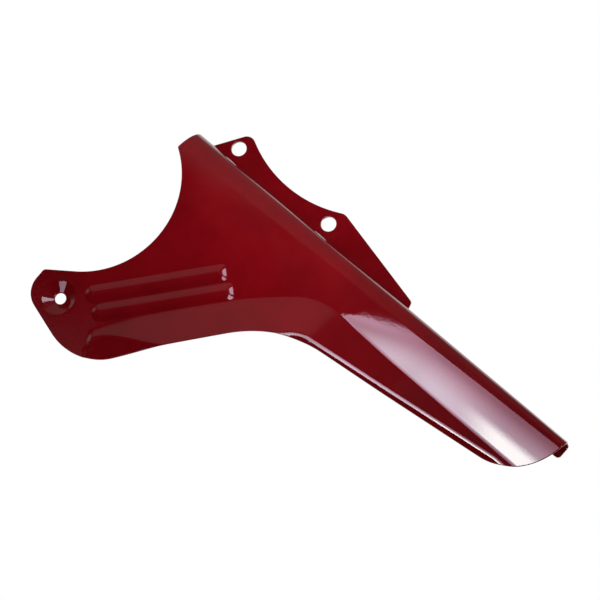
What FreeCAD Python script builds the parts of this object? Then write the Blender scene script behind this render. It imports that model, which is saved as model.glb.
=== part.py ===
import FreeCAD, Part
import math
import os
from FreeCAD import Vector

# A pressed-steel chain guard with its mounting bracket, in millimetres.
# X runs along the ridge towards the rear, Y runs inboard and Z is up. The origin is the midpoint of
# the two bracket holes, on the face of the bracket that bolts to the machine.

# Sheet and plate
sheet_thickness = 1.0
bracket_thickness = 2.5

# Channel that covers the chain from above
channel_width = 18.5
channel_front_x = -59.0
channel_rear_x = 227.5
channel_front_lean = 0.06
ridge_below_bolts = 8.65
ridge_radius_front = 15.0
ridge_radius_rear = 7.0
back_bend_radius = 3.0
back_wall_height = 9.7
back_wall_corner_radius = 2.5

# Crease where the flange leaves the panel: a straight run behind, a bend, then a long arc to the tab
crease_below_ridge = 29.6
crease_bend_x = 83.0
crease_bend_radius = 42.0
crease_bend_angle = 40.0
crease_arm_radius = 360.0
crease_arm_length = 121.5
crease_half_width = 1.9

# Outward flange below the crease, ending in a lip that turns down; at the front end the lip widens and
# closes the flange with a facet that meets the crease in a corner
flange_slope = 0.48
flange_width = 24.1
flange_taper = 0.136
flange_spare = 3.0
flange_end_width = 4.5
flange_end_lean = 0.58
flange_end_length = 52.0
lip_width_front = 0.9
lip_width_rear = 4.0
lip_half_width = 1.7
lip_slope_front = 0.05
lip_slope_rear = 0.85
shortest_flange_run = 0.3

# Rear of the panel, which leans inboard towards the crease
lean_slope = 0.48
lean_start_x = 62.0
lean_full_x = 135.0
lean_below_roll = 1.0
flat_above_crease = 2.6

# Outline of the panel: round cut-out in front, tab below it, lower edge, rounded tail
cutout_x = -86.0
cutout_z = -72.9
cutout_radius = 55.8
cutout_corner_radius = 3.0
tab_tip_x = -68.6
tab_tip_past_cutout = 3.1275
tab_tip_radius = 2.5
tab_heel_x = -68.2
tab_front_height = 16.8
tab_heel_radius = 14.0
tab_toe_x = -15.3
tab_toe_z = -160.3
tab_toe_radius = 37.0
waist_x = 61.8
waist_z = -65.2
waist_radius = 74.0
tail_corner_z = -42.5
tail_radius = 38.0

# Conical dimple round the lower fixing hole
dimple_x = -50.4
dimple_below_tip = 6.4
dimple_radius = 10.4
dimple_depth = 4.6
dimple_rim_radius = 3.0
dimple_rim_land = 2.5
fixing_hole_diameter = 6.6

# Two parallel stiffening beads
bead_front_x = -35.3
bead_front_z = -121.2
bead_length = 73.5
bead_angle = 49.5
bead_shift = 2.7
bead_gap = 0.1
bead_height = 1.7
bead_flank_slope = 0.5
bead_crest_radius = 7.6
bead_crest_flat = 0.1
bead_foot_radius = 2.0
bead_count = 2

# Mounting bracket
bolt_spacing = 72.0
bolt_hole_diameter = 9.0
bracket_arc_x = 2.6
bracket_arc_radius = 77.4
bracket_arc_bottom_z = 1.35
bracket_front_margin = 7.6
bracket_front_lean = 0.664
bracket_rear_margin = 68.4
bracket_rear_z = -3.6
bracket_rear_fall = 0.219
bracket_rear_lean = 0.29
bracket_tip_radius = 5.5
bracket_rear_radius = 2.5
bracket_edge_margin = 0.9

# Planes and lines that the pieces share
back_face_y = -bracket_thickness
panel_y = back_face_y - channel_width
ridge_z = -ridge_below_bolts
crease_z = ridge_z - crease_below_ridge
back_wall_z = ridge_z - back_wall_height
channel_length = channel_rear_x - channel_front_x
tab_tip_reach = cutout_radius + tab_tip_past_cutout
tab_tip_z = cutout_z - math.sqrt(tab_tip_reach ** 2 - (tab_tip_x - cutout_x) ** 2)
tab_heel_z = tab_tip_z - tab_front_height
dimple_z = tab_tip_z - dimple_below_tip
bracket_arc_z = bracket_arc_bottom_z + bracket_arc_radius
bracket_front_x = -bolt_spacing / 2 - bracket_front_margin
bracket_rear_x = bolt_spacing / 2 + bracket_rear_margin
clear_of_part = 40.0
bottom_z = min(tab_heel_z, tab_toe_z) - clear_of_part
overrun = 1.0
same_place = 1e-4

# Spacing of the sections that shape the flange
finest_station = 2.8
widest_station = 12.0
station_growth = 1.3


def rounded_face(corners, y):
    """Flat face at depth y from (x, z, corner radius) entries, with a tangent arc at each corner."""
    edges = []
    ends = []
    for i, (x, z, radius) in enumerate(corners):
        corner = Vector(x, y, z)
        before = Vector(corners[i - 1][0], y, corners[i - 1][1]) - corner
        after_x, after_z, _ = corners[(i + 1) % len(corners)]
        after = Vector(after_x, y, after_z) - corner
        half_angle = before.getAngle(after) / 2
        before.normalize()
        after.normalize()
        reach = radius / math.tan(half_angle)
        start = corner + before * reach
        stop = corner + after * reach
        if radius > 0:
            middle = (before + after).normalize()
            middle = corner + middle * (radius / math.sin(half_angle) - radius)
            edges.append(Part.Arc(start, middle, stop).toShape())
        ends.append((start, stop))
    for i, (start, _) in enumerate(ends):
        edges.append(Part.makeLine(ends[i - 1][1], start))
    return Part.Face(Part.Wire(Part.__sortEdges__(edges)))


def prism(corners, y_front, y_back):
    """Solid with a rounded outline that runs from depth y_front to y_back."""
    return rounded_face(corners, y_front).extrude(Vector(0, y_back - y_front, 0))


def round_bar(x, z, radius, y_front, y_back):
    """Cylinder along Y."""
    return Part.makeCylinder(radius, y_back - y_front, Vector(x, y_front, z), Vector(0, 1, 0))


def edges_along_y(shape, x, z, distance=0.0):
    """Edges parallel to Y that stand at the given distance from (x, z)."""
    found = []
    for edge in shape.Edges:
        a, b = edge.Vertexes[0].Point, edge.Vertexes[-1].Point
        straight = math.hypot(a.x - b.x, a.z - b.z) < same_place
        if straight and abs(math.hypot(a.x - x, a.z - z) - distance) < same_place:
            found.append(edge)
    return found


def area_below(q, knots):
    """Integral up to q of the broken line through the (position, slope) knots, zero before the first."""
    total = 0.0
    for (q0, g0), (q1, g1) in zip(knots, knots[1:]):
        part = min(max(q, q0), q1) - q0
        total += part * (g0 + (g1 - g0) * part / (q1 - q0) / 2)
    return total


def ease(t):
    """Smooth step from 0 to 1."""
    t = min(max(t, 0.0), 1.0)
    return t * t * (3 - 2 * t)


def roll_radius(x):
    """Outside radius of the rolled ridge, which shrinks evenly towards the rear."""
    share = (x - channel_front_x) / channel_length
    return ridge_radius_front + (ridge_radius_rear - ridge_radius_front) * share


def crease_point(s):
    """Crease position (x, z) and heading, s from the rear end of its bend and positive rearward."""
    if s >= 0:
        return crease_bend_x + s, crease_z, 0.0
    bend = math.radians(crease_bend_angle)
    heading = min(-s / crease_bend_radius, bend)
    x = crease_bend_x - crease_bend_radius * math.sin(heading)
    z = crease_z - crease_bend_radius * (1 - math.cos(heading))
    past = -s - crease_bend_radius * bend
    if past > 0:
        heading = bend + past / crease_arm_radius
        x -= crease_arm_radius * (math.sin(heading) - math.sin(bend))
        z -= crease_arm_radius * (math.cos(bend) - math.cos(heading))
    return x, z, heading


def flange_start():
    """Crease length coordinate at which the flange's front end rises."""
    return -crease_bend_radius * math.radians(crease_bend_angle) - crease_arm_length


def flange_values(s):
    """Widths and slopes of the pressed section at crease coordinate s."""
    x, _, _ = crease_point(s)
    rearward = max(s, 0.0)
    lean = ease((x - lean_start_x) / (lean_full_x - lean_start_x))
    roll_foot = crease_below_ridge - roll_radius(x) - lean_below_roll
    above = flat_above_crease + (roll_foot - flat_above_crease) * lean
    rear_share = ease((s - flange_start()) / (channel_rear_x - crease_bend_x - flange_start()))
    lip_width = lip_width_front + (lip_width_rear - lip_width_front) * rear_share
    lip_slope = lip_slope_front + (lip_slope_rear - lip_slope_front) * ease(1 - s / flange_start())
    edge = flange_width - flange_taper * rearward
    shortest = crease_half_width + lip_half_width + shortest_flange_run
    grown = ease((s - flange_start()) / flange_end_length)
    lip = max(shortest + (edge - lip_width - shortest) * grown, shortest)
    return above, lean * lean_slope, lip, lip_slope, max(edge, lip) + flange_spare


def strip_borders(s):
    """Distances from the crease where the strips of the section meet, from the flat panel to the lip."""
    above, _, lip, _, edge = flange_values(s)
    return [-above, -crease_half_width, crease_half_width, lip - lip_half_width, lip + lip_half_width, edge]


def skin_point(s, q):
    """Point of the outer skin at crease coordinate s and distance q below the crease."""
    x, z, heading = crease_point(s)
    above, lean, lip, lip_slope, edge = flange_values(s)
    w = crease_half_width
    recess = area_below(q, [(-above, 0), (-w, lean), (w, 0)])
    rise = [(-w, 0), (w, flange_slope), (lip - lip_half_width, flange_slope)]
    rise += [(lip + lip_half_width, -lip_slope), (edge + overrun, -lip_slope)]
    front_end = ease((s - flange_start() + flange_end_lean * q) / flange_end_width)
    y = panel_y + recess - front_end * area_below(q, rise)
    return Vector(x + q * math.sin(heading), y, z - q * math.cos(heading))


def sheet_point(s, q, depth):
    """Point of the pressed sheet at the given depth below its outer skin."""
    step = same_place
    along = skin_point(s + step, q) - skin_point(s - step, q)
    across = skin_point(s, q + step) - skin_point(s, q - step)
    return skin_point(s, q) + along.cross(across).normalize() * depth


def strip_poles(s, near, far, depth):
    """Four poles of the curve across a strip, which give it the section's place and slope at both borders."""
    step = same_place
    reach = (far - near) / 3
    start, stop = sheet_point(s, near, depth), sheet_point(s, far, depth)
    leave = (sheet_point(s, near + step, depth) - start) * (reach / step)
    arrive = (stop - sheet_point(s, far - step, depth)) * (reach / step)
    return [start, start + leave, stop - arrive, stop]


def stations():
    """Crease coordinates of the sections, close together where the flange's front end rises."""
    s = flange_start() - flange_end_lean * (flange_width + flange_spare) - finest_station
    step = finest_station
    places = [s]
    while s < channel_rear_x - crease_bend_x + finest_station:
        s += step
        step = min(step * station_growth, widest_station)
        places.append(s)
    return places


def net_surface(net):
    """Smooth cubic surface shaped by a net of points, its border rows followed exactly."""
    knots, mults = [], []
    for count in (len(net), len(net[0])):
        spans = count - 3
        knots.append([float(i) for i in range(spans + 1)])
        mults.append([4] + [1] * (spans - 1) + [4])
    surface = Part.BSplineSurface()
    surface.buildFromPolesMultsKnots(net, mults[0], mults[1], knots[0], knots[1], False, False, 3, 3)
    return surface


def on_border(edge, face):
    """Whether the edge also bounds the face."""
    middle = edge.valueAt((edge.FirstParameter + edge.LastParameter) / 2)
    return min(Part.Vertex(middle).distToShape(other)[0] for other in face.Edges) < same_place


def strip_faces(depth):
    """Smooth faces of the pressed section, one for each strip, at the given depth below the outer skin."""
    places = stations()
    borders = [strip_borders(s) for s in places]
    faces = []
    for i in range(len(borders[0]) - 1):
        net = [strip_poles(s, row[i], row[i + 1], depth) for s, row in zip(places, borders)]
        faces.append(net_surface(net).toShape())
    return faces


def pressed_flange():
    """Sheet of the flange and the leaning rear panel, through sections set along the crease."""
    outer, inner = strip_faces(0.0), strip_faces(sheet_thickness)
    sides = []
    for i, (face, back) in enumerate(zip(outer, inner)):
        for a, b in zip(face.Edges, back.Edges):
            shared = [other for j, other in enumerate(outer) if j != i and on_border(a, other)]
            if not shared:
                sides.append(Part.makeRuledSurface(a, b))
    shell = Part.Shell(outer + inner + sides)
    shell.sewShape()
    solid = Part.Solid(shell)
    if solid.Volume < 0:
        solid.reverse()
    return solid, outer


def below_flange_edge(strips):
    """Prism over everything that the pressed flange takes over from the flat panel."""
    flat = []
    for edge in [edge for face in strips for edge in face.Edges]:
        middle = edge.valueAt((edge.FirstParameter + edge.LastParameter) / 2)
        ends = [vertex.Point for vertex in edge.Vertexes]
        if max(abs(p.y - panel_y) for p in ends + [middle]) < same_place:
            flat.append(edge)
    points = [vertex.Point for edge in flat for vertex in edge.Vertexes]
    rear = max(points, key=lambda p: p.x)
    low = min(points, key=lambda p: p.z)
    rear_far = Vector(channel_rear_x + clear_of_part, panel_y, rear.z)
    rear_low = Vector(channel_rear_x + clear_of_part, panel_y, bottom_z - clear_of_part)
    low_far = Vector(low.x, panel_y, bottom_z - clear_of_part)
    closing = Part.makePolygon([rear, rear_far, rear_low, low_far, low]).Edges
    wire = Part.Wire(Part.__sortEdges__(flat + closing))
    return Part.Face(wire).extrude(Vector(0, sheet_thickness, 0))


def roll_centre(x, inset):
    """Centre, at x, of the ball that would roll along under the ridge with the skin set in by inset."""
    radius = roll_radius(x) - inset
    return Vector(x, panel_y + inset + radius, ridge_z - inset - radius)


def ridge_cone(inset):
    """Cone whose skin is the rolled ridge, tangent to the panel and to the top wall."""
    x0, x1 = channel_front_x - clear_of_part, channel_rear_x + clear_of_part
    a, b = roll_centre(x0, inset), roll_centre(x1, inset)
    r0, r1 = roll_radius(x0) - inset, roll_radius(x1) - inset
    axis = b - a
    widen = 1 / math.sqrt(1 - ((r0 - r1) / axis.Length) ** 2)
    return Part.makeCone(r0 * widen, r1 * widen, axis.Length, a, axis)


def channel_block(inset):
    """Filled channel and panel, its skin set in by the given amount, with rolled top edges."""
    y0 = panel_y + inset
    y1 = back_face_y - inset
    z1 = ridge_z - inset
    block = Part.makeBox(channel_length, y1 - y0, z1 - bottom_z, Vector(channel_front_x, y0, bottom_z))
    chord = []
    for x in (channel_front_x, channel_rear_x):
        centre = roll_centre(x, inset)
        chord.append([Vector(x, y0, centre.z), Vector(x, centre.y, z1)])
    loop = [chord[0][0], chord[0][1], chord[1][1], chord[1][0], chord[0][0]]
    face = Part.Face(Part.makePolygon(loop))
    outward = Vector(0, -ridge_radius_front, ridge_radius_front)
    corner = face.extrude(outward)
    roll = corner.common(ridge_cone(inset))
    block = block.cut(corner).fuse(roll)
    back_edges = []
    for edge in block.Edges:
        a, b = edge.Vertexes[0].Point, edge.Vertexes[-1].Point
        if max(abs(p.y - y1) + abs(p.z - z1) for p in (a, b)) < same_place:
            back_edges.append(edge)
    return block.makeFillet(back_bend_radius - inset, back_edges)


def rolled_channel():
    """Front panel, rolled ridge, top wall and short back wall of the sheet."""
    channel = channel_block(0).cut(channel_block(sheet_thickness))
    middle_y = panel_y + channel_width / 2
    low_back = Part.makeBox(channel_length + 2 * overrun, channel_width, back_wall_z - bottom_z + overrun)
    low_back.translate(Vector(channel_front_x - overrun, middle_y, bottom_z - overrun))
    channel = channel.cut(low_back)
    lean_reach = back_wall_height + ridge_radius_front
    lean_foot_z = ridge_z - lean_reach
    lean_top_x = channel_front_x + channel_front_lean * (lean_reach + overrun)
    slant = [(channel_front_x, lean_foot_z, 0), (channel_front_x - overrun, lean_foot_z, 0)]
    slant += [(channel_front_x - overrun, ridge_z + overrun, 0), (lean_top_x, ridge_z + overrun, 0)]
    channel = channel.cut(prism(slant, panel_y - overrun, back_face_y + overrun))
    front_corner_x = channel_front_x + channel_front_lean * (lean_reach - back_wall_height)
    corners = edges_along_y(channel, front_corner_x, back_wall_z)
    corners += edges_along_y(channel, channel_rear_x, back_wall_z)
    channel = channel.makeFillet(back_wall_corner_radius, corners)
    tab_reach = channel_front_x - tab_tip_x + clear_of_part
    tab = Part.makeBox(tab_reach, sheet_thickness, cutout_z - bottom_z)
    tab.translate(Vector(channel_front_x - tab_reach, panel_y, bottom_z))
    return channel.fuse(tab).removeSplitter()


def cutout_tangent():
    """Point where the straight edge of the tab leaves the round cut-out."""
    dx, dz = tab_tip_x - cutout_x, tab_tip_z - cutout_z
    distance = math.hypot(dx, dz)
    turn = math.atan2(dz, dx) + math.acos(cutout_radius / distance)
    return cutout_x + cutout_radius * math.cos(turn), cutout_z + cutout_radius * math.sin(turn)


def panel_outline():
    """Solid over the kept part of the panel, seen from the side."""
    touch_x, touch_z = cutout_tangent()
    top_z = ridge_z + clear_of_part
    corners = [(channel_front_x, top_z, 0), (channel_front_x, cutout_z, 0)]
    corners += [(touch_x, touch_z, 0), (tab_tip_x, tab_tip_z, tab_tip_radius)]
    corners += [(tab_heel_x, tab_heel_z, tab_heel_radius), (tab_toe_x, tab_toe_z, tab_toe_radius)]
    corners += [(waist_x, waist_z, waist_radius), (channel_rear_x, tail_corner_z, tail_radius)]
    corners += [(channel_rear_x, top_z, 0)]
    y0 = panel_y - clear_of_part
    y1 = back_face_y + overrun
    hollow = round_bar(cutout_x, cutout_z, cutout_radius, y0 - overrun, y1 + overrun)
    keep = prism(corners, y0, y1).cut(hollow)
    drop = math.sqrt(cutout_radius ** 2 - (channel_front_x - cutout_x) ** 2)
    corner = edges_along_y(keep, channel_front_x, cutout_z + drop)
    return keep.makeFillet(cutout_corner_radius, corner)


def trimmed(sheet):
    """The sheet with everything outside the panel's outline cut away."""
    keep = panel_outline()
    box = keep.BoundBox
    reach = 2 * clear_of_part
    outside = Part.makeBox(box.XLength + 2 * reach, box.YLength, box.ZLength + 2 * reach)
    outside.translate(Vector(box.XMin - reach, box.YMin, box.ZMin - reach))
    return sheet.cut(outside.cut(keep))


def bead_corners():
    """Distances from a bead's axis to the corners of its crest and foot, and to the rim of its foot."""
    half_turn = math.atan(bead_flank_slope) / 2
    crest = bead_crest_flat + bead_crest_radius * math.tan(half_turn)
    foot = crest + bead_height / bead_flank_slope
    return crest, foot, foot + bead_foot_radius * math.tan(half_turn) + bead_gap / 2


def bead_body():
    """Pressed sheet of one bead along Y from the origin, its crest towards Z."""
    crest, foot, rim = bead_corners()
    t = sheet_thickness
    shift = t * math.tan(math.atan(bead_flank_slope) / 2)
    corners = [(0, bead_height, 0), (crest, bead_height, bead_crest_radius), (foot, 0, bead_foot_radius)]
    corners += [(rim, 0, 0), (rim, -t, 0), (foot - shift, -t, bead_foot_radius + t)]
    corners += [(crest - shift, bead_height - t, bead_crest_radius - t), (0, bead_height - t, 0)]
    half = rounded_face(corners, 0)
    length = Vector(0, bead_length, 0)
    side = half.extrude(length)
    front = half.revolve(Vector(0, 0, 0), Vector(0, 0, 1), -180)
    rear = half.revolve(Vector(0, 0, 0), Vector(0, 0, 1), 180)
    rear.translate(length)
    return side.fuse([side.mirror(Vector(0, 0, 0), Vector(1, 0, 0)), front, rear]).removeSplitter()


def bead_seat():
    """Block over the flat sheet that a bead takes the place of."""
    _, _, rim = bead_corners()
    t = sheet_thickness
    seat = Part.makeBox(2 * rim, bead_length, 3 * t, Vector(-rim, 0, -2 * t))
    ends = [Part.makeCylinder(rim, 3 * t, Vector(0, y, -2 * t)) for y in (0, bead_length)]
    return seat.fuse(ends).removeSplitter()


def with_beads(sheet):
    """Press the stiffening beads out of the flat panel, side by side."""
    turn = math.radians(bead_angle)
    along = Vector(math.cos(turn), 0, math.sin(turn))
    across = Vector(math.sin(turn), 0, -math.cos(turn))
    attitude = FreeCAD.Rotation(across, along, Vector(0, -1, 0), "ZXY")
    _, _, rim = bead_corners()
    offset = across * (2 * rim) + along * bead_shift
    seats, bodies = [], []
    for i in range(bead_count):
        place = Vector(bead_front_x, panel_y, bead_front_z) + offset * i
        for group, shape in ((seats, bead_seat()), (bodies, bead_body())):
            shape.Placement = FreeCAD.Placement(place, attitude)
            group.append(shape)
    return sheet.cut(seats).fuse(bodies)


def with_dimple(sheet):
    """Press the conical dimple inboard and pierce its fixing hole."""
    hole = fixing_hole_diameter / 2
    slope = math.atan2(dimple_depth, dimple_radius - hole)
    rim = dimple_radius + dimple_rim_land
    t = sheet_thickness
    inner_rim = dimple_radius - t * math.tan(slope / 2)
    corners = [(rim, 0, 0), (dimple_radius, 0, dimple_rim_radius), (hole, dimple_depth, 0)]
    corners += [(hole, dimple_depth + t / math.cos(slope), 0), (inner_rim, t, dimple_rim_radius - t)]
    corners += [(rim, t, 0)]
    section = rounded_face(corners, 0)
    dish = section.revolve(Vector(0, 0, 0), Vector(0, 0, 1), 360)
    dish.rotate(Vector(0, 0, 0), Vector(1, 0, 0), -90)
    dish.translate(Vector(dimple_x, panel_y, dimple_z))
    seat = round_bar(dimple_x, dimple_z, rim, panel_y - t, panel_y + 2 * t)
    return sheet.cut(seat).fuse(dish)


def guard_shell():
    """The whole pressed sheet."""
    flange, strips = pressed_flange()
    panel = rolled_channel().cut(below_flange_edge(strips))
    sheet = trimmed(panel).fuse(trimmed(flange))
    return with_dimple(with_beads(sheet))


def mounting_bracket():
    """Flat plate that stands up behind the ridge, spot-welded to the back wall of the channel."""
    low_z = back_wall_z + bracket_edge_margin
    top_z = bracket_arc_bottom_z + clear_of_part
    front_low = bracket_front_x + low_z * bracket_front_lean
    front_top = bracket_front_x + top_z * bracket_front_lean
    rear_low = bracket_rear_x + (bracket_rear_z - low_z) * bracket_rear_lean
    rise_z = bracket_rear_z + (bracket_rear_x - bracket_arc_x) * bracket_rear_fall
    corners = [(front_low, low_z, bracket_rear_radius), (front_top, top_z, 0), (bracket_arc_x, rise_z, 0)]
    corners += [(bracket_rear_x, bracket_rear_z, bracket_rear_radius), (rear_low, low_z, bracket_rear_radius)]
    plate = prism(corners, back_face_y, 0)
    y0 = back_face_y - overrun
    plate = plate.cut(round_bar(bracket_arc_x, bracket_arc_z, bracket_arc_radius, y0, overrun))
    tips = edges_along_y(plate, bracket_arc_x, bracket_arc_z, bracket_arc_radius)
    plate = plate.makeFillet(bracket_tip_radius, tips)
    for x in (-bolt_spacing / 2, bolt_spacing / 2):
        plate = plate.cut(round_bar(x, 0, bolt_hole_diameter / 2, y0, overrun))
    return plate


os.makedirs("parts", exist_ok=True)
for name, shape in (("guard_shell", guard_shell()), ("mounting_bracket", mounting_bracket())):
    shape.exportStep("parts/" + name + ".step")
    print(name, shape.ShapeType, shape.isValid(), len(shape.Solids), len(shape.Faces), round(shape.Volume))
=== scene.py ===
import math

import bpy
import numpy as np
from mathutils import Matrix, Vector
from mathutils.geometry import delaunay_2d_cdt


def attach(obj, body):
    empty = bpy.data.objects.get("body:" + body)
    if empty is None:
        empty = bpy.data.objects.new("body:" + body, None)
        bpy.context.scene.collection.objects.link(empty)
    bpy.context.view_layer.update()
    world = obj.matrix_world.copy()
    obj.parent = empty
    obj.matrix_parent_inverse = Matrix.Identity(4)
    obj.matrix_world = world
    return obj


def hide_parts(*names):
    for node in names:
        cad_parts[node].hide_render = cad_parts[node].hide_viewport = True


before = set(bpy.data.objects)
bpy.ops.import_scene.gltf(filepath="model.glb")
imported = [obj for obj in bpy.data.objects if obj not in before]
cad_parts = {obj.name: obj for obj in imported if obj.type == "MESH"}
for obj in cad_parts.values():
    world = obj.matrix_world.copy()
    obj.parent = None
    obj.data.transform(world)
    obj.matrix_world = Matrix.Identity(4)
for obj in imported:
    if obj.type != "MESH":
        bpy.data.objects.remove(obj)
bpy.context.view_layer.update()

# A gloss red pressed-steel chain guard. The sheet and the bracket plate are drawn again here as smooth
# meshes on the solids' own dimensions, in millimetres, so that the paint's reflections run clean.
mm = 0.001

# Sheet and channel
sheet_thickness = 1.0
bracket_thickness = 2.5
channel_width = 18.5
channel_front_x = -59.0
channel_rear_x = 227.5
channel_front_lean = 0.06
ridge_z = -8.65
ridge_radius_front = 15.0
ridge_radius_rear = 7.0
back_bend_radius = 3.0
back_wall_height = 9.7
back_wall_corner_radius = 2.5

# Crease and flange
crease_below_ridge = 29.6
crease_bend_x = 83.0
crease_bend_radius = 42.0
crease_bend_angle = math.radians(40.0)
crease_arm_radius = 360.0
crease_arm_length = 121.5
crease_half_width = 1.9
flange_slope = 0.48
flange_width = 24.1
flange_taper = 0.136
flange_spare = 3.0
flange_end_width = 4.5
flange_end_lean = 0.58
flange_end_length = 52.0
lip_width_front = 0.9
lip_width_rear = 4.0
lip_half_width = 1.7
lip_slope_front = 0.05
lip_slope_rear = 0.85
shortest_flange_run = 0.3
lip_overrun = 1.0

# Rear of the panel, which leans inboard towards the crease
lean_slope = 0.48
lean_start_x = 62.0
lean_full_x = 135.0
lean_below_roll = 1.0
flat_above_crease = 2.6

# Outline of the panel, with a corner radius as the third number of each corner
cutout = (-86.0, -72.9)
cutout_radius = 55.8
cutout_corner_radius = 3.0
tab_tip = (-68.6, -129.2, 2.5)
tab_heel = (-68.2, -146.0, 14.0)
tab_toe = (-15.3, -160.3, 37.0)
waist = (61.8, -65.2, 74.0)
tail = (channel_rear_x, -42.5, 38.0)

# Dimple and beads; the power sets how blunt the rear ends of the beads are
dimple = (-50.4, -135.6)
dimple_radius = 10.4
dimple_depth = 4.6
dimple_rim_radius = 3.0
fixing_hole_radius = 3.3
bead_front = (-35.3, -121.2)
bead_length = 73.5
bead_angle = math.radians(49.5)
bead_shift = 2.7
bead_gap = 0.1
bead_height = 1.7
bead_flank_slope = 0.5
bead_crest_radius = 7.6
bead_crest_flat = 0.1
bead_foot_radius = 2.0
bead_count = 2
ramp_power = 4.0

# Bracket plate
bolt_spacing = 72.0
bolt_hole_radius = 4.5
bracket_arc_x = 2.6
bracket_arc_radius = 77.4
bracket_arc_bottom_z = 1.35
bracket_front_x = -43.6
bracket_front_lean = 0.664
bracket_rear = (104.4, -3.6)
bracket_rear_fall = 0.219
bracket_rear_lean = 0.29
bracket_tip_radius = 5.5
bracket_rear_radius = 2.5
bracket_edge_margin = 0.9

# Rounding of the cut edges under the paint, and the front panel's ease into the ridge
edge_ease = 0.02
sheet_rim = 0.48
plate_rim = 0.4
ridge_ease_reach = 14.0
ridge_ease_depth = 0.6

# Spacing of the meshes' points
border_step = 1.2
clear_of_border = 0.55
flange_step = 1.0
flange_end_step = 0.6
flange_lead_in = 16.0
flange_end_run = 8.0
hole_margin = 1.0
normal_step = 0.02
merge_step = 0.05
cut_tolerance = 1e-5
same_place = 0.001

# Numbers of steps along and across the forms
arc_least_steps = 3
arc_steps_a_radian = 6
circle_least_steps = 48
lean_rows = 7
crease_rows = 8
flange_rows = 8
lip_bend_rows = 8
lip_rows = 4
ridge_columns = 240
ease_rows = 6
roll_rows = 20
back_bend_rows = 8
bead_columns = 36
bead_end_columns = 20
crest_rows = 6
flank_rows = 3
foot_rows = 5
cone_rows = 6
dimple_rim_rows = 7
rim_rows = 4
rim_passes = 3
points_at_once = 2000

# Shared planes
back_face_y = -bracket_thickness
panel_y = back_face_y - channel_width
crease_z = ridge_z - crease_below_ridge
back_wall_z = ridge_z - back_wall_height
channel_length = channel_rear_x - channel_front_x

# Photograph: picture size, camera direction and how the picture is turned (pixels, degrees, metres)
picture_px = 600
camera_azimuth = 16.5
camera_elevation = -4.5
camera_distance = 1.4
camera_clip = (0.05, 50.0)
metres_per_px = 0.000584
ridge_fall = 40.57
sensor_mm = 36.0
target = Vector((0.0, -0.0025, 0.0))
target_px = (283.34, 185.95)

# Paint: tones and roughness of the enamel, scales of its textures per metre, edge of a dust nib as a share
# of its cell, and heights of the orange peel and the nibs in metres
paint_deep = (0.131, 0.0015, 0.0038)
paint_bright = (0.169, 0.0020, 0.0048)
paint_roughness = (0.035, 0.075)
noise_range = (0.3, 0.7)
mottle_scale = 38.0
gloss_scale = 150.0
peel_scale = 620.0
nib_scale = 48.0
nib_edge = (0.012, 0.026)
peel_height = 0.00002
nib_height = 0.00003

# Floor in metres: its greys, and how it turns white with the distance from the object
floor_z = -0.42
floor_size = 12.0
floor_greys = (0.8, 0.84)
floor_roughness = 0.8
floor_grain_scale = 6.0
floor_white = (0.55, 1.0)
floor_white_reach = (0.3, 1.2)

# Even light, and the room that gloss paint shows: the level of each pale patch in the dark, and the
# directions' x, y and z between which it fades in. The low patch has a slanted edge.
ambient_level = 0.62
room_dark = 0.03
room_above_z = (0.1, 0.3)
room_side = 0.15
room_side_y = (-0.62, -0.4)
room_front = 0.27
room_front_x = (-0.12, -0.38)
room_low = 0.16
room_low_slant = -0.43
room_low_edge = (0.159, 0.154)
room_low_x = (-0.3, -0.32)
room_low_z = (-0.14, -0.08)
room_end = 0.1
room_end_x = (-0.76, -0.88)
room_streak = 0.6
room_streak_x = (-0.86, -0.92)
room_streak_foot_z = (-0.38, -0.3)
room_streak_top_z = (0.1, 0.0)
room_behind = 1.0
room_behind_y = (0.4, 0.75)
room_over = 1.3
room_over_y = (0.3, 0.55)
room_over_z = (0.3, 0.5)

# Soft boxes in metres, each at a distance from its aim, with edges on its own plane: one close to the tail
# for its long highlight, one high at the right and one low at the left for the bead ends and the dimple,
# a key for the front panel and a pale one behind. The tail's way counts right, up and towards the camera.
box_tint = (0.97, 0.85, 1.0)
tail_aim = (0.12, -0.02, -0.03)
tail_way = (-0.55, -0.05, 0.83)
soft_box = dict(aim=tail_aim, distance=0.12, level=23.5,
                across=(-0.042, 0.118), upright=(-0.062, 0.200))
high_box = dict(aim=(0.0, -0.02, -0.08), way=(0.237, -0.65, 0.722), distance=3.0, level=7.0,
                across=(-0.45, 0.45), upright=(-0.45, 0.45), colour=box_tint)
low_box = dict(aim=tail_aim, distance=0.30, level=4.0,
               across=(-0.190, -0.030), upright=(-0.260, -0.180), colour=box_tint)
key_box = dict(aim=(0.02, -0.02, -0.028), way=(0.0, -1.0, 0.15), distance=0.08, level=4.1,
               across=(-0.085, 0.085), upright=(-0.02, 0.02))
back_box = dict(aim=(0.08, 0.0, -0.06), way=(0.35, 0.8, 0.5), distance=1.0, level=1.6,
                across=(-0.4, 0.4), upright=(-0.4, 0.4))

# Glow of the tail's soft box: colours from low to high, gains and tone at its left and right, its hot core,
# and the slanted edge at which it ends, as places on its plane
box_glow = [(-0.024, (0.536, 0.509, 0.6)), (0.0, (0.5, 0.43, 0.523)), (0.022, (0.43, 0.355, 0.436)),
            (0.044, (0.364, 0.273, 0.355)), (0.066, (0.286, 0.2, 0.264)), (0.088, (0.223, 0.141, 0.19)),
            (0.109, (0.18, 0.114, 0.16)), (0.15, (0.16, 0.1, 0.14))]
box_left = (0.335, 0.25, 0.335)
box_left_across = (0.02, -0.03)
box_left_upright = (0.01, 0.06)
box_left_gain = (1.05, 0.6)
box_right_across = (0.02, 0.08)
box_right_gain = (1.0, 0.7)
box_core = (0.96, 1.0, 1.0)
box_core_across = (0.035, 0.07)
box_core_upright = (0.014, -0.026)
box_edge_place = (-0.040, 0.080)
box_edge_slant = 1.7
box_edge_blur = 0.02


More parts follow.
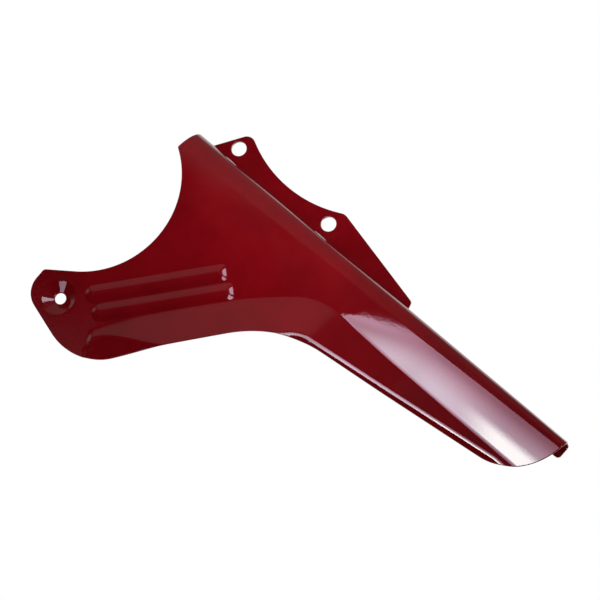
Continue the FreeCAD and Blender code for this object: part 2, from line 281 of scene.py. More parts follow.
def steps(start, stop, count):
    """Even steps from start to stop, both included."""
    return [start + (stop - start) * i / count for i in range(count + 1)]


def ease(t):
    """Smooth step from 0 to 1."""
    t = min(max(t, 0.0), 1.0)
    return t * t * (3 - 2 * t)


def area_below(q, knots):
    """Integral up to q of the broken line through the (position, slope) knots, zero before the first."""
    total = 0.0
    for (q0, g0), (q1, g1) in zip(knots, knots[1:]):
        part = min(max(q, q0), q1) - q0
        total += part * (g0 + (g1 - g0) * part / (q1 - q0) / 2)
    return total


def roll_radius(x):
    """Outside radius of the rolled ridge, which shrinks evenly towards the rear."""
    share = (x - channel_front_x) / channel_length
    return ridge_radius_front + (ridge_radius_rear - ridge_radius_front) * share


def arm_centre():
    """Centre of the long arc of the crease."""
    reach = crease_arm_radius - crease_bend_radius
    x = crease_bend_x + reach * math.sin(crease_bend_angle)
    return x, crease_z - crease_bend_radius - reach * math.cos(crease_bend_angle)


def crease_point(s, q):
    """Place (x, z) at length s along the crease, rearward from its bend, and distance q below it."""
    if s >= 0:
        return crease_bend_x + s, crease_z - q
    heading = -s / crease_bend_radius
    centre, radius = (crease_bend_x, crease_z - crease_bend_radius), crease_bend_radius
    if heading > crease_bend_angle:
        past = -s - crease_bend_radius * crease_bend_angle
        heading = crease_bend_angle + past / crease_arm_radius
        centre, radius = arm_centre(), crease_arm_radius
    return centre[0] - (radius - q) * math.sin(heading), centre[1] + (radius - q) * math.cos(heading)


def crease_place(x, z):
    """Length s along the crease and distance q below it of a place on the panel."""
    if x >= crease_bend_x:
        return x - crease_bend_x, crease_z - z
    dx, dz = x - crease_bend_x, z - crease_z + crease_bend_radius
    heading = math.atan2(-dx, dz)
    if heading <= crease_bend_angle:
        return -crease_bend_radius * heading, crease_bend_radius - math.hypot(dx, dz)
    centre = arm_centre()
    dx, dz = x - centre[0], z - centre[1]
    heading = math.atan2(-dx, dz)
    s = -crease_bend_radius * crease_bend_angle - crease_arm_radius * (heading - crease_bend_angle)
    return s, crease_arm_radius - math.hypot(dx, dz)


def flange_start():
    """Crease length coordinate at which the flange's front end rises."""
    return -crease_bend_radius * crease_bend_angle - crease_arm_length


def flange_values(s):
    """Widths and slopes of the pressed section at crease coordinate s."""
    x, _ = crease_point(s, 0)
    lean = ease((x - lean_start_x) / (lean_full_x - lean_start_x))
    roll_foot = crease_below_ridge - roll_radius(x) - lean_below_roll
    above = flat_above_crease + (roll_foot - flat_above_crease) * lean
    rear_share = ease((s - flange_start()) / (channel_rear_x - crease_bend_x - flange_start()))
    lip_width = lip_width_front + (lip_width_rear - lip_width_front) * rear_share
    lip_slope = lip_slope_front + (lip_slope_rear - lip_slope_front) * ease(1 - s / flange_start())
    edge = flange_width - flange_taper * max(s, 0.0)
    shortest = crease_half_width + lip_half_width + shortest_flange_run
    grown = ease((s - flange_start()) / flange_end_length)
    lip = max(shortest + (edge - lip_width - shortest) * grown, shortest)
    return above, lean * lean_slope, lip, lip_slope, max(edge, lip) + flange_spare


def bead_section():
    """Distances from a bead's axis at which its crest ends, its foot begins and its foot ends."""
    slope = math.atan(bead_flank_slope)
    crest = bead_crest_flat + bead_crest_radius * math.sin(slope)
    drop = bead_height - (bead_crest_radius + bead_foot_radius) * (1 - math.cos(slope))
    foot = crest + drop / bead_flank_slope
    return crest, foot, foot + bead_foot_radius * math.sin(slope)


def beads():
    """Start and stop (x, z) of the axis of each bead."""
    along = Vector((math.cos(bead_angle), math.sin(bead_angle)))
    across = Vector((math.sin(bead_angle), -math.cos(bead_angle)))
    pitch = 2 * bead_section()[2] + bead_gap
    starts = [Vector(bead_front) + across * (pitch * i) + along * (bead_shift * i) for i in range(bead_count)]
    return [(start, start + along * bead_length) for start in starts]


def ramp_distance(past, away):
    """Distance from a bead's axis end as its blunt rear ramp counts it, from the run past the end."""
    aside = math.sqrt(max(away ** 2 - past ** 2, 0.0))
    return (max(past, 0.0) ** ramp_power + aside ** ramp_power) ** (1 / ramp_power)


def bead_rise(x, z):
    """How far the beads stand out of the panel."""
    crest, foot, rim = bead_section()
    foot_rise = bead_foot_radius * (1 - math.cos(math.atan(bead_flank_slope)))
    place = Vector((x, z))
    rise = 0.0
    for start, stop in beads():
        share = min(max((place - start).dot(stop - start) / bead_length ** 2, 0.0), 1.0)
        away = (place - start.lerp(stop, share)).length
        if share == 1.0:
            away = ramp_distance((place - stop).dot(stop - start) / bead_length, away)
        if away < crest:
            level = max(away - bead_crest_flat, 0.0)
            rise += bead_height - bead_crest_radius + math.sqrt(bead_crest_radius ** 2 - level ** 2)
        elif away < foot:
            rise += foot_rise + (foot - away) * bead_flank_slope
        elif away < rim:
            rise += bead_foot_radius - math.sqrt(bead_foot_radius ** 2 - (rim - away) ** 2)
    return rise


def dimple_section():
    """Slope angle of the dimple's cone, and the radii where its rounded rim begins and ends."""
    slope = math.atan2(dimple_depth, dimple_radius - fixing_hole_radius)
    reach = dimple_rim_radius * math.tan(slope / 2)
    return slope, dimple_radius - reach * math.cos(slope), dimple_radius + reach


def dimple_fall(x, z):
    """How far the dimple sinks into the panel."""
    slope, inner, outer = dimple_section()
    away = math.hypot(x - dimple[0], z - dimple[1])
    if away >= outer:
        return 0.0
    if away >= inner:
        return dimple_rim_radius - math.sqrt(dimple_rim_radius ** 2 - (outer - away) ** 2)
    return (dimple_radius - away) * math.tan(slope)


def pressed_depth(x, z):
    """Depth of the pressed panel's skin inboard of the flat panel."""
    s, q = crease_place(x, z)
    above, lean, lip, lip_slope, edge = flange_values(s)
    w = crease_half_width
    recess = area_below(q, [(-above, 0), (-w, lean), (w, 0)])
    rise = [(-w, 0), (w, flange_slope), (lip - lip_half_width, flange_slope)]
    rise += [(lip + lip_half_width, -lip_slope), (edge + lip_overrun, -lip_slope)]
    front_end = ease((s - flange_start() + flange_end_lean * q) / flange_end_width)
    return recess - front_end * area_below(q, rise) - bead_rise(x, z) + dimple_fall(x, z)


def ridge_ease(x, v):
    """How far the panel eases inboard on its way into the rolled ridge, less where the rear panel leans."""
    radius = roll_radius(x)
    depth = ridge_ease_depth * (1 - ease((x - channel_front_x) / (lean_start_x - channel_front_x)))
    past = v - ridge_z + radius
    if past <= 0:
        return depth * max(past / ridge_ease_reach + 1, 0.0) ** 2
    length = radius * math.pi / 2
    t = min(past / length, 1.0)
    return depth * (1 - t) ** 2 * (1 + 2 * t + 2 * t * length / ridge_ease_reach)


def on_front_panel(x, v):
    """Whether a place lies on the front panel, below the rolled ridge."""
    return v <= ridge_z - roll_radius(x)


def sheet_skin(x, v):
    """Point of the outer skin at x and developed height v: z on the panel, then a length over the ridge."""
    if on_front_panel(x, v):
        return Vector((x, panel_y + pressed_depth(x, v) + ridge_ease(x, v), v))
    radius = roll_radius(x)
    start = ridge_z - radius
    turn = (v - start) / radius
    if turn <= math.pi / 2:
        y = panel_y + radius * (1 - math.cos(turn)) + ridge_ease(x, v)
        return Vector((x, y, start + radius * math.sin(turn)))
    past = v - start - radius * math.pi / 2
    top = channel_width - radius - back_bend_radius
    if past <= top:
        return Vector((x, panel_y + radius + past, ridge_z))
    turn = (past - top) / back_bend_radius
    if turn <= math.pi / 2:
        y = back_face_y - back_bend_radius * (1 - math.sin(turn))
        return Vector((x, y, ridge_z - back_bend_radius * (1 - math.cos(turn))))
    down = past - top - back_bend_radius * math.pi / 2
    return Vector((x, back_face_y, ridge_z - back_bend_radius - down))


def plate_skin(x, v):
    """Point of the bracket plate's outer face."""
    return Vector((x, back_face_y, v))


def skin_normal(skin, x, v):
    """Outward normal of a skin."""
    along = skin(x + normal_step, v) - skin(x - normal_step, v)
    across = skin(x, v + normal_step) - skin(x, v - normal_step)
    return along.cross(across).normalized()


def developed(x, z):
    """Developed height of a place on the front of the sheet."""
    radius = roll_radius(x)
    start = ridge_z - radius
    if z <= start:
        return z
    return start + radius * math.asin(min((z - start) / radius, 1.0))


def channel_top(x):
    """Developed height of the lower edge of the back wall."""
    radius = roll_radius(x)
    top = channel_width - radius - back_bend_radius
    bends = (radius + back_bend_radius) * math.pi / 2
    return ridge_z - radius + bends + top + back_wall_height - back_bend_radius


def on_circle(centre, radius, turn):
    """Point of a circle at an angle."""
    return centre[0] + radius * math.cos(turn), centre[1] + radius * math.sin(turn)


def arc(centre, radius, start, stop):
    """Points on a circle from one angle to another, both included."""
    steps_a_radian = max(radius / border_step, arc_steps_a_radian)
    count = max(arc_least_steps, math.ceil(abs(stop - start) * steps_a_radian))
    return [on_circle(centre, radius, turn) for turn in steps(start, stop, count)]


def short_arc(centre, radius, first, last):
    """Points on a circle between two directions from its centre, the short way round."""
    start = math.atan2(first.y, first.x)
    sweep = (math.atan2(last.y, last.x) - start + math.pi) % (2 * math.pi) - math.pi
    return arc(centre, radius, start, start + sweep)


def corner_arc(before, corner, after):
    """Points on the tangent arc that rounds a corner (x, z, radius) between its neighbours."""
    here = Vector(corner[:2])
    a = (Vector(before[:2]) - here).normalized()
    b = (Vector(after[:2]) - here).normalized()
    half = a.angle(b) / 2
    centre = here + (a + b).normalized() * (corner[2] / math.sin(half))
    reach = corner[2] / math.tan(half)
    return short_arc(centre, corner[2], here + a * reach - centre, here + b * reach - centre)


def circle_loop(centre, radius):
    """Border of a round hole, with the sheet on the right of the way round."""
    count = max(circle_least_steps, math.ceil(2 * math.pi * radius / border_step))
    return [on_circle(centre, radius, turn) for turn in steps(0.0, 2 * math.pi, count)[:-1]]


def resampled(points, closed=True):
    """The points of a border, with more between them so that no step is longer than the border step."""
    found = []
    for a, b in zip(points, points[1:] + (points[:1] if closed else [])):
        length = math.dist(a, b)
        if length >= same_place:
            count = math.ceil(length / border_step)
            found += list(zip(steps(a[0], b[0], count), steps(a[1], b[1], count)))[:-1]
    return found if closed else found + points[-1:]


def front_x(z):
    """Front end of the channel, which leans back a little."""
    return channel_front_x + channel_front_lean * (z - ridge_z + back_wall_height + ridge_radius_front)


def panel_border():
    """Border of the panel in (x, z), from the tail along the lower edge and the cut-out to the ridge."""
    to_tip = Vector(tab_tip[:2]) - Vector(cutout)
    touch_turn = math.atan2(to_tip.y, to_tip.x) + math.acos(cutout_radius / to_tip.length)
    r = cutout_corner_radius
    corner_x = channel_front_x + r
    corner_z = cutout[1] + math.sqrt((cutout_radius + r) ** 2 - (corner_x - cutout[0]) ** 2)
    corner_turn = math.atan2(corner_z - cutout[1], corner_x - cutout[0])
    border = corner_arc(waist, tail, (channel_rear_x, 0.0))[::-1]
    corners = [tail, waist, tab_toe, tab_heel, tab_tip, on_circle(cutout, cutout_radius, touch_turn)]
    for before, corner, after in zip(corners, corners[1:], corners[2:]):
        border += corner_arc(before, corner, after)
    border += arc(cutout, cutout_radius, touch_turn, corner_turn)
    last_corner = arc((corner_x, corner_z), r, corner_turn + math.pi, math.pi)
    return border + [(max(x, front_x(z)), z) for x, z in last_corner]


def sheet_outline():
    """Border of the sheet in (x, developed height), with the sheet on the right of the way round."""
    loop = [(x, developed(x, z)) for x, z in panel_border()]
    c = back_wall_corner_radius
    low_front_x = front_x(back_wall_z)
    v0, v1 = loop[-1][1], channel_top(low_front_x) - c
    for v in steps(v0, v1, math.ceil((v1 - v0) / border_step))[1:-1]:
        loop.append((front_x(sheet_skin(channel_front_x, v).z), v))
    wall = arc((low_front_x + c, back_wall_z + c), c, math.pi, math.pi * 1.5)
    wall += arc((channel_rear_x - c, back_wall_z + c), c, math.pi * 1.5, math.pi * 2)
    loop += [(x, channel_top(x) - (z - back_wall_z)) for x, z in resampled(wall, closed=False)]
    return resampled(loop)


def bracket_tip(foot, way, side, centre):
    """Middle, edge end and points of the round tip between the edge from foot along way and the arc."""
    within = Vector((way.y, -way.x)) * side
    base = Vector(foot[:2]) + within * bracket_tip_radius - centre
    along = base.dot(way)
    reach = bracket_arc_radius + bracket_tip_radius
    half_chord = math.sqrt(along ** 2 - base.length_squared + reach ** 2)
    step = -along - half_chord
    if step < 0:
        step = -along + half_chord
    middle = centre + base + way * step
    edge_end = middle - within * bracket_tip_radius
    return middle, edge_end, short_arc(middle, bracket_tip_radius, edge_end - middle, centre - middle)


def bracket_outline():
    """Border of the bracket plate, with the plate on the right of the way round."""
    low_z = back_wall_z + bracket_edge_margin
    centre = Vector((bracket_arc_x, bracket_arc_bottom_z + bracket_arc_radius))
    front_low = (bracket_front_x + low_z * bracket_front_lean, low_z, bracket_rear_radius)
    rear_low_x = bracket_rear[0] + (bracket_rear[1] - low_z) * bracket_rear_lean
    rear_low = (rear_low_x, low_z, bracket_rear_radius)
    rear = (*bracket_rear, bracket_rear_radius)
    front_way = Vector((bracket_front_lean, 1.0)).normalized()
    rear_way = Vector((-1.0, bracket_rear_fall)).normalized()
    front_middle, front_end, front_tip = bracket_tip(front_low, front_way, 1, centre)
    rear_middle, rear_end, rear_tip = bracket_tip(rear, rear_way, -1, centre)
    loop = corner_arc(rear_low, front_low, front_end) + front_tip
    loop += short_arc(centre, bracket_arc_radius, front_middle - centre, rear_middle - centre)
    loop += rear_tip[::-1] + corner_arc(rear_end, rear, rear_low) + corner_arc(rear, rear_low, front_low)
    return resampled(loop)


def flange_points():
    """Places in rows along the crease, from the lean of the panel to the edge of the lip."""
    places = []
    w, h = crease_half_width, lip_half_width
    s = flange_start() - flange_lead_in
    while s < channel_rear_x - crease_bend_x:
        above, _, lip, _, edge = flange_values(s)
        rows = steps(-above, -w, lean_rows)[:-1] + steps(-w, w, crease_rows)[:-1]
        rows += steps(w, lip - h, flange_rows)[:-1] + steps(lip - h, lip + h, lip_bend_rows)[:-1]
        rows += steps(lip + h, edge, lip_rows)
        places += [crease_point(s, q) for q in rows]
        at_end = s < flange_start() + flange_end_width + flange_end_run
        s += flange_end_step if at_end else flange_step
    return places


def ridge_points():
    """Places in columns over the ridge, from the panel's ease to the bend of the back wall."""
    places = []
    for x in steps(channel_front_x, channel_rear_x, ridge_columns):
        radius = roll_radius(x)
        start = ridge_z - radius
        after = start + radius * math.pi / 2
        bend = after + channel_width - radius - back_bend_radius
        places += [(x, start + v) for v in steps(-ridge_ease_reach, 0.0, ease_rows)[1:-1]]
        places += [(x, v) for v in steps(start, after, roll_rows)]
        places += [(x, v) for v in steps(bend, bend + back_bend_radius * math.pi / 2, back_bend_rows)]
    return places


def bead_points():
    """Places along each bead's axis and in rows round it."""
    places = []
    crest, foot, rim = bead_section()
    rows = steps(0, crest, crest_rows)[1:] + steps(crest, foot, flank_rows)[1:]
    rows += steps(foot, rim, foot_rows)[1:]
    for start, stop in beads():
        way = (stop - start).normalized()
        side = Vector((-way.y, way.x))
        axis = [start.lerp(stop, t) for t in steps(0, 1, bead_columns)]
        places += [tuple(p) for p in axis]
        for away in rows:
            places += [tuple(p + side * (away * sign)) for p in axis for sign in (-1, 1)]
            for turn in steps(0, math.pi, bead_end_columns)[1:-1]:
                out = way * math.sin(turn) + side * math.cos(turn)
                blunt = away / ramp_distance(math.sin(turn), 1.0)
                places += [tuple(stop + out * blunt), tuple(start - out * away)]
    return places


def dimple_points():
    """Places in rings round the fixing hole."""
    _, inner, outer = dimple_section()
    rings = steps(fixing_hole_radius + hole_margin, inner, cone_rows)
    rings += steps(inner, outer, dimple_rim_rows)[1:]
    return [place for away in rings for place in circle_loop(dimple, away)]


def inside(points, loop):
    """Which of the points lie inside the closed loop."""
    x, y = points[:, 0], points[:, 1]
    found = np.zeros(len(points), bool)
    for (x0, y0), (x1, y1) in zip(loop, np.roll(loop, -1, axis=0)):
        if y0 != y1:
            crosses = (y0 > y) != (y1 > y)
            found ^= crosses & (x < x0 + (y - y0) * (x1 - x0) / (y1 - y0))
    return found


def on_sheet(points, borders):
    """Which of the points lie inside the first border and outside the holes."""
    found = inside(points, borders[0])
    for border in borders[1:]:
        found &= ~inside(points, border)
    return found


def nearest(points, others):
    """Distance of each point from the nearest of the others."""
    found = np.empty(len(points))
    for i in range(0, len(points), points_at_once):
        part = points[i:i + points_at_once]
        gap = ((part[:, None, :] - others[None, :, :]) ** 2).sum(axis=2)
        found[i:i + points_at_once] = np.sqrt(gap.min(axis=1))
    return found


def inward(loop):
    """Unit directions from the border into the sheet, which lies on the right of the way round."""
    way = np.roll(loop, -1, axis=0) - np.roll(loop, 1, axis=0)
    side = np.stack([way[:, 1], -way[:, 0]], axis=1)
    return side / np.linalg.norm(side, axis=1)[:, None]


def clear_places(places, borders):
    """The places on the sheet that keep clear of its borders, without doubles."""
    points = np.array(places).reshape(-1, 2)
    points = points[on_sheet(points, borders) & (nearest(points, np.vstack(borders)) > clear_of_border)]
    first = np.unique(np.round(points / merge_step), axis=0, return_index=True)[1]
    return points[np.sort(first)]


def triangulated(borders, points):
    """Flat triangles between the borders: places, faces, and each border point's index among the places."""
    coords = [Vector(p) for border in borders for p in border] + [Vector(p) for p in points]
    edges = []
    for border in borders:
        at, count = len(edges), len(border)
        edges += [(at + i, at + (i + 1) % count) for i in range(count)]
    flat, _, faces, origins, _, _ = delaunay_2d_cdt(coords, edges, [], 0, cut_tolerance, True)
    flat = np.array([tuple(p) for p in flat])
    faces = np.array([tuple(f) for f in faces])
    faces = faces[on_sheet(flat[faces].mean(axis=1), borders)]
    a, b, c = (flat[faces[:, i]] for i in range(3))
    turned = (b[:, 0] - a[:, 0]) * (c[:, 1] - a[:, 1]) - (b[:, 1] - a[:, 1]) * (c[:, 0] - a[:, 0]) < 0
    faces[turned] = faces[turned][:, ::-1]
    return flat, faces, {origin: i for i, entry in enumerate(origins) for origin in entry}


def rim_foot(skin, place, side, thickness, panel):
    """Place whose inner skin lies under a border place, where the cut runs square through the panel."""
    foot = place
    for _ in range(rim_passes):
        n = skin_normal(skin, *foot)
        foot = place + side * thickness * (n.x * side[0] + (n.z * side[1] if panel else 0.0))
    return foot


def rounded_corner(start, corner, stop, first, last, shares):
    """Points on a bend from start to stop round a corner, and their normals, from first to last."""
    points = [start * (1 - t) ** 2 + corner * (2 * t * (1 - t)) + stop * t ** 2 for t in shares]
    return points, [(first * (1 - t) + last * t).normalized() for t in shares]


def linked(name, data):
    """New object in the scene."""
    made = bpy.data.objects.new(name, data)
    bpy.context.scene.collection.objects.link(made)
    return made


def sheet_mesh(name, skin, loops, places, thickness, rim, on_panel):
    """Sheet of even thickness over a skin, bounded by an outer loop and holes, with rounded cut edges."""
    loops = [np.array(loop) for loop in loops]
    inwards = [inward(loop) for loop in loops]
    loops = [loop + sides * edge_ease for loop, sides in zip(loops, inwards)]
    insets = [loop + sides * rim for loop, sides in zip(loops, inwards)]
    flat, faces, index_of = triangulated(insets, clear_places(places, insets))
    count = len(flat)
    verts = [skin(*p) for p in flat]
    normals = [skin_normal(skin, *p) for p in flat]
    verts += [p - n * thickness for p, n in zip(verts, normals)]
    normals += [-n for n in normals]
    polygons = [tuple(f) for f in faces] + [tuple(f[::-1] + count) for f in faces]
    shares = steps(0.0, 1.0, rim_rows)
    at = 0
    for loop, sides in zip(loops, inwards):
        rings = []
        for i, (place, side) in enumerate(zip(loop, sides)):
            top = index_of[at + i]
            low = count + top
            foot = rim_foot(skin, place, side, thickness, on_panel(*place))
            reached = foot + side * rim
            low_normal = skin_normal(skin, *reached)
            verts[low] = skin(*reached) - low_normal * thickness
            normals[low] = -low_normal
            high_corner = skin(*place)
            low_corner = skin(*foot) - skin_normal(skin, *foot) * thickness
            fall = low_corner - high_corner
            across = verts[top] - high_corner
            wall = (fall * (across.dot(fall) / fall.length_squared) - across).normalized()
            bend = fall * (rim / fall.length)
            ring = [top]
            for corner in ((verts[top], high_corner, high_corner + bend, normals[top], wall, shares[1:]),
                           (low_corner - bend, low_corner, verts[low], wall, normals[low], shares[:-1])):
                corner_points, corner_normals = rounded_corner(*corner)
                ring += range(len(verts), len(verts) + len(corner_points))
                verts += corner_points
                normals += corner_normals
            rings.append(ring + [low])
        for ring, after in zip(rings, rings[1:] + rings[:1]):
            for i in range(len(ring) - 1):
                polygons.append((ring[i], after[i], after[i + 1], ring[i + 1]))
        at += len(loop)
    mesh = bpy.data.meshes.new(name)
    mesh.from_pydata([v * mm for v in verts], [], [tuple(int(i) for i in p) for p in polygons])
    mesh.validate()
    mesh.polygons.foreach_set("use_smooth", [True] * len(mesh.polygons))
    mesh.normals_split_custom_set_from_vertices(normals)
    return linked(name, mesh)


def camera_axes():
    """Right, up and back directions of the camera, turned so that the ridge falls to the right."""
    a, e = math.radians(camera_azimuth), math.radians(camera_elevation)
    back = Vector((math.sin(a) * math.cos(e), -math.cos(a) * math.cos(e), math.sin(e)))
    level_right = Vector((math.cos(a), math.sin(a), 0.0))
    level_up = back.cross(level_right)
    turn = math.atan2(level_up.x, level_right.x) + math.radians(ridge_fall)
    right = level_right * math.cos(turn) + level_up * math.sin(turn)
    up = level_up * math.cos(turn) - level_right * math.sin(turn)
    return right, up, back


def camera_way(x, y, z):
    """World direction from camera directions: right, up and towards the camera."""
    right, up, back = camera_axes()
    return right * x + up * y + back * z


def placed(right, up, back, place):
    """Matrix of a camera or light from its own axes and its place."""
    return Matrix.Translation(place) @ Matrix((right, up, back)).transposed().to_4x4()


def make_camera():
    """Camera at the photograph's viewing angle."""
    right, up, back = camera_axes()
    data = bpy.data.cameras.new("camera")
    data.sensor_width = sensor_mm
    data.lens = sensor_mm * camera_distance / (metres_per_px * picture_px)
    data.clip_start, data.clip_end = camera_clip
    camera = linked("camera", data)
    across = (target_px[0] - picture_px / 2) * metres_per_px
    down = (target_px[1] - picture_px / 2) * metres_per_px
    place = target + back * camera_distance - right * across + up * down
    camera.matrix_world = placed(right, up, back, place)
    bpy.context.scene.camera = camera


def node(tree, kind, settings=(), **inputs):
    """New shader node with its settings and input values."""
    made = tree.nodes.new(kind)
    for key, value in dict(settings).items():
        setattr(made, key, value)
    for key, value in inputs.items():
        made.inputs[key.replace("_", " ")].default_value = value
    return made


def span(tree, source, ends, levels=(0.0, 1.0)):
    """Socket that runs smoothly between two levels while the source runs from one end to the other."""
    made = node(tree, "ShaderNodeMapRange", {"interpolation_type": "SMOOTHSTEP"},
                From_Min=ends[0], From_Max=ends[1], To_Min=levels[0], To_Max=levels[1])
    tree.links.new(source, made.inputs["Value"])
    return made.outputs["Result"]


def combine(tree, operation, a, b):
    """Socket with the sum, product, or larger of two sockets."""
    made = node(tree, "ShaderNodeMath", {"operation": operation})
    tree.links.new(a, made.inputs[0])
    tree.links.new(b, made.inputs[1])
    return made.outputs[0]


def slanted(tree, source, slope, added):
    """Socket with a source times a slope, plus another source."""
    made = node(tree, "ShaderNodeMath", {"operation": "MULTIPLY_ADD"})
    tree.links.new(source, made.inputs[0])
    made.inputs[1].default_value = slope
    tree.links.new(added, made.inputs[2])
    return made.outputs[0]


def ramp(tree, source, stops):
    """Colour socket that runs through the (position, colour) stops."""
    made = tree.nodes.new("ShaderNodeValToRGB")
    bands = made.color_ramp.elements
    for i, (position, colour) in enumerate(stops):
        band = bands[i] if i < 2 else bands.new(position)
        band.position = position
        band.color = (*colour, 1.0)
    tree.links.new(source, made.inputs["Fac"])
    return made.outputs["Color"]


def mix_colour(tree, factor, a, b, blend="MIX"):
    """Colour socket between a and b, each a socket or a colour."""
    made = node(tree, "ShaderNodeMix", {"data_type": "RGBA", "blend_type": blend})
    if isinstance(factor, float):
        made.inputs[0].default_value = factor
    else:
        tree.links.new(factor, made.inputs[0])
    for source, socket in ((a, made.inputs[6]), (b, made.inputs[7])):
        if isinstance(source, tuple):
            socket.default_value = (*source, 1.0)
        else:
            tree.links.new(source, socket)
    return made.outputs[2]


def mix_shader(tree, factor, a, b):
    """Shader socket between a and b."""
    made = tree.nodes.new("ShaderNodeMixShader")
    for source, socket in zip((factor, a, b), made.inputs):
        tree.links.new(source, socket)
    return made.outputs[0]


def make_paint(name):
    """Gloss enamel with orange peel, faint mottling and a few dust nibs."""
    material = bpy.data.materials.new(name)
    material.use_nodes = True
    tree = material.node_tree
    shader = tree.nodes["Principled BSDF"]
    place = tree.nodes.new("ShaderNodeTexCoord").outputs["Object"]
    mottle = node(tree, "ShaderNodeTexNoise", Scale=mottle_scale, Detail=3.0, Roughness=0.55)
    gloss = node(tree, "ShaderNodeTexNoise", Scale=gloss_scale, Detail=2.0)
    peel = node(tree, "ShaderNodeTexNoise", Scale=peel_scale, Detail=1.5, Roughness=0.5)
    nibs = node(tree, "ShaderNodeTexVoronoi", Scale=nib_scale, Randomness=1.0)
    for texture in (mottle, gloss, peel, nibs):
        tree.links.new(place, texture.inputs["Vector"])
    colour = ramp(tree, mottle.outputs["Fac"], list(zip(noise_range, (paint_deep, paint_bright))))
    tree.links.new(colour, shader.inputs["Base Color"])
    tree.links.new(span(tree, gloss.outputs["Fac"], noise_range, paint_roughness), shader.inputs["Roughness"])
    nib = span(tree, nibs.outputs["Distance"], nib_edge, (nib_height / peel_height, 0.0))
    bump = node(tree, "ShaderNodeBump", Strength=1.0, Distance=peel_height)
    tree.links.new(combine(tree, "ADD", peel.outputs["Fac"], nib), bump.inputs["Height"])
    tree.links.new(bump.outputs["Normal"], shader.inputs["Normal"])
    return material


def make_world():
    """Dark room with a pale backdrop behind, as gloss paint shows it, and soft even light for the rest."""
    world = bpy.data.worlds.new("studio")
    bpy.context.scene.world = world
    world.use_nodes = True
    tree = world.node_tree
    tree.nodes.clear()
    out = tree.nodes.new("ShaderNodeOutputWorld")
    white = node(tree, "ShaderNodeBackground", Color=(1, 1, 1, 1), Strength=1.0)
    ambient = node(tree, "ShaderNodeBackground", Color=(1, 1, 1, 1), Strength=ambient_level)
    room = node(tree, "ShaderNodeBackground", Color=(1, 1, 1, 1))
    parts = tree.nodes.new("ShaderNodeSeparateXYZ")
    tree.links.new(tree.nodes.new("ShaderNodeTexCoord").outputs["Generated"], parts.inputs[0])
    x, y, z = (parts.outputs[axis] for axis in "XYZ")

    def patch(levels, source, ends, *fades):
        """Socket that runs between two levels along a direction, held in by the other fades."""
        made = span(tree, source, ends, levels)
        for other, other_ends in fades:
            made = combine(tree, "MULTIPLY", made, span(tree, other, other_ends))
        return made

    above = (z, room_above_z)
    low_slope = slanted(tree, x, room_low_slant, z)
    streak_ends = ((z, room_streak_foot_z), (z, room_streak_top_z))
    level = patch((room_dark, room_side), y, room_side_y, above)
    for other in (patch((0.0, room_front), x, room_front_x, above),
                  patch((0.0, room_low), low_slope, room_low_edge, (x, room_low_x), (z, room_low_z)),
                  patch((0.0, room_end), x, room_end_x),
                  patch((0.0, room_streak), x, room_streak_x, *streak_ends),
                  patch((0.0, room_behind), y, room_behind_y),
                  patch((0.0, room_over), y, room_over_y, (z, room_over_z))):
        level = combine(tree, "MAXIMUM", level, other)
    tree.links.new(level, room.inputs["Strength"])
    path = tree.nodes.new("ShaderNodeLightPath")
    shown = mix_shader(tree, path.outputs["Is Diffuse Ray"], room.outputs[0], ambient.outputs[0])
    shown = mix_shader(tree, path.outputs["Is Camera Ray"], shown, white.outputs[0])
    tree.links.new(shown, out.inputs[0])


def make_floor_material():
    """Pale grey, white in the distance, that takes the object's shadow close by."""
    material = bpy.data.materials.new("floor")
    material.use_nodes = True
    tree = material.node_tree
    shader = tree.nodes["Principled BSDF"]
    grain = node(tree, "ShaderNodeTexNoise", Scale=floor_grain_scale, Detail=4.0)
    place = tree.nodes.new("ShaderNodeTexCoord").outputs["Object"]
    tree.links.new(place, grain.inputs["Vector"])
    stops = [(position, (grey, grey, grey)) for position, grey in zip(noise_range, floor_greys)]
    tree.links.new(ramp(tree, grain.outputs["Fac"], stops), shader.inputs["Base Color"])
    shader.inputs["Roughness"].default_value = floor_roughness
    glow = node(tree, "ShaderNodeEmission", Color=(1, 1, 1, 1), Strength=1.0)
    reach = node(tree, "ShaderNodeVectorMath", {"operation": "LENGTH"})
    tree.links.new(place, reach.inputs[0])
    far = span(tree, reach.outputs["Value"], floor_white_reach, floor_white)
    seen = combine(tree, "MULTIPLY", far, tree.nodes.new("ShaderNodeLightPath").outputs["Is Camera Ray"])
    shown = mix_shader(tree, seen, shader.outputs[0], glow.outputs[0])
    tree.links.new(shown, tree.nodes["Material Output"].inputs["Surface"])
    return material


def make_floor():
    """Pale floor under the object, which gloss paint doesn't mirror."""
    mesh = bpy.data.meshes.new("floor")
    half = floor_size / 2
    corners = [(-half, -half), (half, -half), (half, half), (-half, half)]
    mesh.from_pydata([(x, y, floor_z) for x, y in corners], [], [(0, 1, 2, 3)])
    mesh.materials.append(make_floor_material())
    floor = linked("floor", mesh)
    floor.visible_glossy = False


def area_light(name, aim, way, distance, across, upright, level, colour=(1.0, 1.0, 1.0)):
    """Soft box towards way from aim, kept level, with its left, right, lower and upper edge on its plane."""
    way = Vector(way).normalized()
    right = Vector((0.0, 0.0, 1.0)).cross(way).normalized()
    up = way.cross(right)
    data = bpy.data.lights.new(name, "AREA")
    data.shape = "RECTANGLE"
    data.size = across[1] - across[0]
    data.size_y = upright[1] - upright[0]
    data.energy = math.pi * data.size * data.size_y * level
    data.color = colour
    light = linked(name, data)
    place = Vector(aim) + way * distance + right * (sum(across) / 2) + up * (sum(upright) / 2)
    light.matrix_world = placed(right, up, way, place)
    light.visible_camera = False
    return light


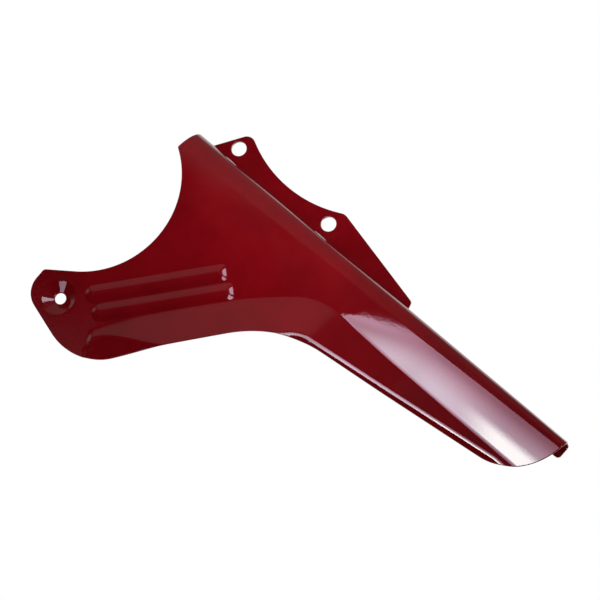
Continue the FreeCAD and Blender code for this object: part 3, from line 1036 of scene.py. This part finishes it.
def shade_soft_box(light, across, upright):
    """Let the soft box grow brighter and whiter downwards, with a hot core at its low right."""
    light.data.use_nodes = True
    tree = light.data.node_tree
    parts = tree.nodes.new("ShaderNodeSeparateXYZ")
    tree.links.new(tree.nodes.new("ShaderNodeNewGeometry").outputs["Parametric"], parts.inputs[0])
    x, y = parts.outputs["X"], parts.outputs["Y"]

    def share(limits, value):
        """Place on the box's plane as a share of its width or height."""
        return (value - limits[0]) / (limits[1] - limits[0])

    def along_x(ends, levels=(0.0, 1.0)):
        """Socket that runs between two levels across the box."""
        return span(tree, x, [share(across, end) for end in ends], levels)

    def along_y(ends):
        """Socket that runs from 0 to 1 up or down the box."""
        return span(tree, y, [share(upright, end) for end in ends])

    glow = ramp(tree, y, [(share(upright, v), colour) for v, colour in box_glow])
    for ends, gains in ((box_left_across, box_left_gain), (box_right_across, box_right_gain)):
        glow = mix_colour(tree, 1.0, glow, along_x(ends, gains), "MULTIPLY")
    for colour, ends, rise in ((box_left, box_left_across, box_left_upright),
                               (box_core, box_core_across, box_core_upright)):
        glow = mix_colour(tree, combine(tree, "MULTIPLY", along_x(ends), along_y(rise)), glow, colour)
    slope = -box_edge_slant * (upright[1] - upright[0]) / (across[1] - across[0])
    edge = share(across, box_edge_place[0]) + share(upright, box_edge_place[1]) * slope
    within = span(tree, slanted(tree, y, slope, x), (edge - box_edge_blur, edge + box_edge_blur))
    shown = mix_colour(tree, within, (0.0, 0.0, 0.0), glow)
    tree.links.new(shown, tree.nodes["Emission"].inputs["Color"])


sheet_borders = [sheet_outline(), circle_loop(dimple, fixing_hole_radius)]
sheet_places = flange_points() + ridge_points() + bead_points() + dimple_points()
sheet = sheet_mesh("guard_sheet", sheet_skin, sheet_borders, sheet_places, sheet_thickness, sheet_rim,
                   on_front_panel)
bolt_holes = [circle_loop((side * bolt_spacing / 2, 0.0), bolt_hole_radius) for side in (-1, 1)]
plate = sheet_mesh("bracket_plate", plate_skin, [bracket_outline()] + bolt_holes, [], bracket_thickness,
                   plate_rim, lambda x, v: True)
for piece, cad, slot in ((sheet, "guard_shell", "shell_paint"), (plate, "mounting_bracket", "bracket_paint")):
    piece.data.materials.append(make_paint(slot))
    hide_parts(cad)
    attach(piece, "root")

make_world()
make_floor()
make_camera()
tail_direction = camera_way(*tail_way)
soft_light = area_light("soft_box", way=tail_direction, **soft_box)
shade_soft_box(soft_light, soft_box["across"], soft_box["upright"])
high_light = area_light("high_box", **high_box)
low_light = area_light("low_box", way=tail_direction, **low_box)
for gloss_light in (soft_light, high_light, low_light):
    gloss_light.visible_diffuse = False
key_light = area_light("key_box", **key_box)
key_light.visible_glossy = False
area_light("back_box", **back_box)
bpy.context.scene.view_settings.view_transform = "Standard"
